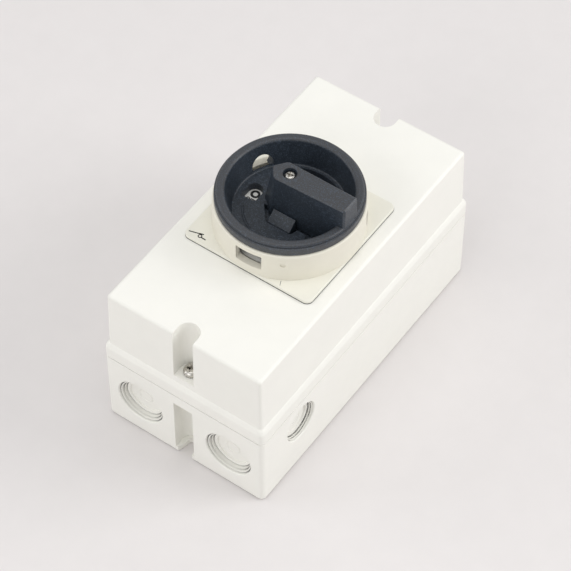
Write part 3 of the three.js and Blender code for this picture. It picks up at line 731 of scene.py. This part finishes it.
def grip():
    def outline(size, fall):
        ends = [(size["end"], -size["end_half"]), (size["end"], size["end_half"])]
        sides = [(size["shoulder"], side * size["shoulder_half"]) for side in (-1, 1)]
        loop = [(size["tip"], 0), sides[0], *ends, sides[1]]
        return [(x, y, size["top"] - fall * (size["end"] - x)) for x, y in loop]

    bar = softened(skin([outline(GRIP_FOOT, 0), outline(GRIP, GRIP_FALL)]), 0.8, 1, 20)
    return cut(bar, ring(KNOB["skin"], 50, 0, KNOB["under_rim"]))


def floor_grooves():
    """Two fine curved grooves, side by side in the bowl's floor."""
    z = KNOB["floor"]
    paths = [[(r * math.cos(t), r * math.sin(t), z) for t in arc(211, 248, 30)] for r in (19.7, 20.6)]
    return [tube(path, 0.22, 8) for path in paths]


def troughs():
    z0, z1 = KNOB["floor"] - TROUGH, KNOB["floor"] + 1
    near = prism(fillet([
        (-10.6, -4), (-4.2, -11.8, 0.6), (8.4, -11.4, 0.6), (9.4, -8, 0.6), (13.4, -8, 0.8), (17.6, -15, 0.6),
        (40, -15), (40, -4),
    ]), z0, z1)
    far = prism(fillet([(-9.5, 4), (40, 4), (40, 40), (-9.5, 40, 0.8)]), z0, z1)
    return cut(join(near, far), ring(KNOB["bowl_foot"] - 1.6, 60, z0 - 1, z1 + 1))


def lock_hole(angle):
    reach = KNOB["bowl_foot"] - 1.1
    hole = moved(turned(rod(LOCK_HOLE["radius"], reach, COLLAR["outer"]), 90, "Y"), 0, 0, LOCK_HOLE["z"])
    below = box(0, HOLE_SILL, -9, 9, 80, KNOB["floor"] + GAP)
    return turned(cut(hole, below), angle)


def window_cutter():
    w = WINDOW
    outline = fillet([
        (w["x0"], w["y0"], 1.2), (w["x1"], w["y0"], 1.2), (w["x1"], w["y1"], 4), (w["x0"], w["y1"], 3.2),
    ], 8)
    return prism(outline, KNOB["under"] - 1, KNOB["floor"] + 1)


def knob_body():
    socket, k = SHAFT["half"] + GAP, KNOB
    head = GRIP["top"]
    return softened(cut(
        join(cut(bowl(), troughs()), grip()),
        box(POCKET["x0"], POCKET["x1"], POCKET["y0"], POCKET["y1"], POCKET["z"], PLUNGER["far_top"] + 3),
        window_cutter(), *floor_grooves(),
        box(-socket, socket, -socket, socket, k["barrel_end"] - 1, SHAFT["z1"] + GAP),
        rod(1.9, SHAFT["z1"], head), rod(3.1, head - 3.4, head + 1),
        ring(CLIP["groove"], k["barrel"] + 1, CLIP["z0"] - GAP, CLIP["z1"] + GAP),
        *[lock_hole(angle) for angle in LOCK_ANGLES]), 0.3, 3, 38)


def lock_plunger():
    near, far = POCKET["y0"] + GAP, POCKET["y1"] - GAP
    x0, x1 = POCKET["x0"] + GAP, POCKET["x1"] - GAP
    z0 = PLUNGER["z0"]
    foot = [(x0, near, z0), (x1, near, z0), (x1, far, z0), (x0, far, z0)]
    top = [(x, y, PLUNGER["near_top"] if y == near else PLUNGER["far_top"]) for x, y, _ in foot]
    return softened(skin([foot, top]), 0.3, 3)


def coil(radius, wire, turns, z0, z1):
    count = turns * 28
    path = []
    for i in range(count + 1):
        turn = 2 * math.pi * turns * i / count
        height = z0 + wire + (z1 - z0 - 2 * wire) * i / count
        path.append((radius * math.cos(turn), radius * math.sin(turn), height))
    return tube(path, wire)


def show_handle():
    stand_for("knob", knob_body())
    half = SHAFT["half"]
    shaft = box(-half, half, -half, half, SHAFT["z0"], SHAFT["z1"])
    stand_for("drive_shaft", softened(cut(shaft, rod(1.8, SHAFT["z1"] - 10, SHAFT["z1"] + 1)), 0.4, 3))
    stand_for("handle_screw", moved(turned(screw(2.4, 1.9, 1.5, 20, 0.66), 12), 0, 0, GRIP["top"] - 3.4))
    hoop = ring(CLIP["groove"] + GAP, KNOB["barrel"] + 2, CLIP["z0"], CLIP["z1"])
    clip = cut(hoop, box(0, 30, -4, 4, 70, 90))
    stand_for("retaining_clip", softened(clip, 0.15, 2))
    stand_for("shaft_seal", ring(KNOB["barrel"] + 0.1, HOLE - 0.05, LID_TOP - 2, LID_TOP - 0.6, ROUND, 0.15))
    stand_for("lock_plunger", lock_plunger())
    low, high = POCKET["z"] + 0.05, PLUNGER["z0"] - 0.05
    x, y = (POCKET["x0"] + POCKET["x1"]) / 2, (POCKET["y0"] + POCKET["y1"]) / 2
    spring = stand_for("plunger_spring", moved(coil(2, 0.35, 3, low, high), x, y))
    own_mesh(spring)


# ---------- switch mechanism ----------
def din_rail():
    z, height, metal = RAIL["z"], RAIL["height"], RAIL["metal"]
    half, web = RAIL["half"], RAIL["web"]
    top = z + height
    lip = top - metal
    bar = prism(fillet([
        (-web, z, 1.2), (web, z, 1.2), (web, lip), (half, lip), (half, top),
        (web - metal, top, 1.2), (web - metal, z + metal), (-web + metal, z + metal),
        (-web + metal, top, 1.2), (-half, top), (-half, lip), (-web, lip),
    ]), -RAIL["length"] / 2, RAIL["length"] / 2)
    lying = turned(turned(bar, 90, "X"), 90)
    holes = [moved(rod(2.3, z - 1, z + metal + 1), x) for x in (-RAIL_SCREW_X, RAIL_SCREW_X)]
    return softened(cut(lying, *holes), 0.15, 2)


def bolt_holes(radius, z0, z1):
    return [moved(rod(radius, z0, z1, SMALL), d, d) for d in (-BOLT_XY, BOLT_XY)]


def mounting_foot():
    half, lip = DECKS["half"], RAIL["half"] + GAP
    under, top = RAIL["z"] + RAIL["height"], DECKS["z"] - GAP
    low, x = under - HOOK["reach"], HOOK["half"]

    def hook():
        leg = box(-x, x, lip, lip + HOOK["metal"], low, top)
        claw = box(-x, x, lip - HOOK["lip"], lip + 0.5, low, under - RAIL["metal"] - GAP)
        return join(leg, claw)

    slab = loft([(0, under + GAP), (0, top)], 2 * half, 2 * half, 1.5)
    bores = [rod(3.4, under, top + 1, SMALL), *bolt_holes(1.4, under, top + 1)]
    return softened(cut(join(slab, *both_ends(hook)), *bores), 0.3, 2)


def contact_deck():
    half, height, cavity, floor = DECKS["half"], DECKS["height"], DECKS["cavity"], DECKS["floor"]
    t = TERMINAL

    def notch():
        return box(-t["half"] - GAP, t["half"] + GAP, -half - 1, -8, t["strip"] - GAP, height + 1)

    def screw_hole():
        return moved(turned(rod(1.9, half - 6.6, half + 1, SMALL), 90, "X"), 0, 0, t["screw_z"])

    return softened(cut(
        loft([(0, 0), (0, height)], 2 * half, 2 * half, 3),
        rod(cavity, floor, height + 1), rod(6.9, -1, floor + 1, SMALL),
        *both_ends(notch), *both_ends(screw_hole), *bolt_holes(BOLT_BORE, -1, height + 1)), 0.3, 2)


def fixed_contact():
    t = TERMINAL
    outside = -DECKS["half"] - GAP
    half, top = t["half"], t["strip"] + t["metal"]
    tongue = box(-half, half, outside - t["metal"], -t["inner"], t["strip"], top)
    tab = box(-half, half, outside - t["metal"], outside, 0.7, top)
    hole = turned(rod(1.9, -outside - 1, -outside + t["metal"] + 1, SMALL), 90, "X")
    return softened(cut(join(tongue, tab), moved(hole, 0, 0, t["screw_z"])), 0.2, 2)


def moving_contact():
    z0 = TERMINAL["strip"] + TERMINAL["metal"] + GAP
    z1, key = z0 + BLADE["metal"], SPINDLE["half"] + GAP
    x, y = BLADE["reach"], BLADE["half"]
    blades = prism(fillet([(-x, -y, 0.8), (x, -y, 0.8), (x, y, 0.8), (-x, y, 0.8)]), z0, z1)
    hub = rod(BLADE["hub"], z0, z1)
    return softened(cut(join(blades, hub), box(-key, key, -key, key, z0 - 1, z1 + 1)), 0.15, 2)


def show_deck(number):
    z = DECKS["z"] + (number - 1) * DECKS["pitch"]
    stand_for(f"contact_deck_{number}", moved(contact_deck(), 0, 0, z))
    stand_for(f"moving_contact_{number}", moved(moving_contact(), 0, 0, z))
    face = DECKS["half"] + GAP + TERMINAL["metal"] + 0.05
    for side, turn in (("line", 0), ("load", 180)):
        stand_for(f"{side}_contact_{number}", moved(turned(fixed_contact(), turn), 0, 0, z))
        bolt = moved(turned(screw(2.7, 1.9, 1.6, 6.5), 90, "X"), 0, -face, TERMINAL["screw_z"])
        stand_for(f"{side}_screw_{number}", moved(turned(bolt, turn), 0, 0, z))


def spindle():
    half, head, z0, neck, z1 = (SPINDLE[k] for k in ("half", "head", "z0", "neck", "z1"))
    key = SHAFT["half"] + GAP
    bar = join(rod(3, z0 - 2.4, z0 + 1), box(-half, half, -half, half, z0, neck + 1), rod(head, neck, z1))
    return softened(cut(bar, box(-key, key, -key, key, SHAFT["z0"] - GAP, z1 + 1)), 0.3, 2)


def snap_cam():
    key = SPINDLE["half"] + GAP
    lobes = []
    for turn in arc(0, 360, 96)[:-1]:
        reach = CAM["radius"] + CAM["lobe"] * math.cos(CAM["lobes"] * turn)
        lobes.append((reach * math.cos(turn), reach * math.sin(turn)))
    cam = prism(lobes, HOUSING["z0"] + 0.4, SPINDLE["neck"] - GAP)
    return softened(cut(cam, box(-key, key, -key, key, 0, 100)), 0.2, 2)


def mechanism_housing():
    z0, z1 = HOUSING["z0"], HOUSING["z1"]
    size = 2 * DECKS["half"]
    return softened(cut(
        loft([(0, z0), (0, z1 - 1), (1, z1)], size, size, 3),
        rod(18, z0 - 1, z1 - 3), rod(SPINDLE["head"] + 0.5, z0, z1 + 1),
        *bolt_holes(BOLT_BORE, z0 - 1, z1 + 1)), 0.3, 2)


def show_mechanism():
    stand_for("din_rail", din_rail())
    for number, x in ((1, -RAIL_SCREW_X), (2, RAIL_SCREW_X)):
        height = RAIL["z"] + RAIL["metal"] + 0.05
        stand_for(f"rail_screw_{number}", moved(screw(3.4, 2.2, 1.6, 4), x, 0, height))
    stand_for("mounting_foot", mounting_foot())
    for number in range(1, DECKS["count"] + 1):
        show_deck(number)
    stand_for("mechanism_housing", mechanism_housing())
    stand_for("snap_cam", snap_cam())
    leaf_z = HOUSING["z0"] + 0.4
    half, y = LEAF["half"], LEAF["y"]
    for end, turn in (("front", 180), ("rear", 0)):
        strip = box(-half, half, y, y + LEAF["metal"], leaf_z, leaf_z + LEAF["height"])
        leaf = softened(strip, 0.2, 2)
        stand_for(f"snap_spring_{end}", turned(leaf, turn))
    stand_for("rotor_spindle", spindle())
    length = HOUSING["z1"] - DECKS["z"] + 2.6
    for number, d in ((1, -BOLT_XY), (2, BOLT_XY)):
        stand_for(f"tie_bolt_{number}", moved(screw(3, 2, 1.1, length), d, d, HOUSING["z1"] + 0.05))


# ---------- camera, floor and lights ----------
LIGHT_DISTANCE = 1.4
FLOOR_DROP = 0.0002  # keeps the floor just clear of the enclosure's underside


def direction(azimuth, elevation):
    """From the object towards an azimuth, which is 0 at the front, and an elevation."""
    a, e = math.radians(azimuth), math.radians(elevation)
    return Vector((math.sin(a) * math.cos(e), -math.cos(a) * math.cos(e), math.sin(e)))


def aim(thing, place, azimuth, elevation):
    """Puts a camera or light at a place, looking down from that azimuth and elevation."""
    a = math.radians(azimuth)
    back = direction(azimuth, elevation)
    right = Vector((math.cos(a), math.sin(a), 0))
    up = back.cross(right)
    turn = Matrix((right, up, back)).transposed().to_4x4()
    thing.matrix_world = Matrix.Translation(place) @ turn


def add_camera():
    data = bpy.data.cameras.new("camera")
    data.sensor_width = 36
    data.lens = 161.09
    thing = bpy.data.objects.new("camera", data)
    bpy.context.scene.collection.objects.link(thing)
    aim(thing, (0.39735, -0.56305, 0.91670), 35.37, 51.90)
    bpy.context.scene.camera = thing


def add_light(name, azimuth, elevation, size, power):
    """A square soft light that looks at the middle of the object from an azimuth and an elevation."""
    data = bpy.data.lights.new(name, "AREA")
    data.shape = "SQUARE"
    data.size = size
    data.energy = power
    thing = bpy.data.objects.new(name, data)
    bpy.context.scene.collection.objects.link(thing)
    back = direction(azimuth, elevation)
    aim(thing, Vector((0, 0, 0.05)) + back * LIGHT_DISTANCE, azimuth, elevation)


def add_floor():
    half = 2.5
    mesh = bpy.data.meshes.new("floor")
    corners = [(-half, -half, 0), (half, -half, 0), (half, half, 0), (-half, half, 0)]
    mesh.from_pydata(corners, [], [(0, 1, 2, 3)])
    paper = moulded("paper", (0.741, 0.713, 0.707), 0.9, 0.6, 0.004, 0.01)
    mesh.materials.append(paper)
    floor = bpy.data.objects.new("floor", mesh)
    bpy.context.scene.collection.objects.link(floor)
    floor.location.z = -FLOOR_DROP


def add_world():
    world = bpy.data.worlds.new("studio")
    bpy.context.scene.world = world
    world.use_nodes = True
    background = world.node_tree.nodes["Background"]
    background.inputs["Color"].default_value = (1.0, 1.0, 1.0, 1)
    background.inputs["Strength"].default_value = 0.573


def light_studio():
    add_floor()
    add_world()
    add_light("key", 120, 30, 0.8, 8.2)
    add_light("front_fill", 0, 30, 0.8, 3.6)
    add_light("left_fill", 300, 30, 0.8, 3.3)
    add_light("rear_fill", 190, 32, 0.8, 0.8)
    add_light("overhead", 35, 88, 0.9, 3.8)
    bpy.context.scene.view_settings.view_transform = "Standard"


show_enclosure()
show_front()
show_print()
show_handle()
show_mechanism()
add_camera()
light_studio()
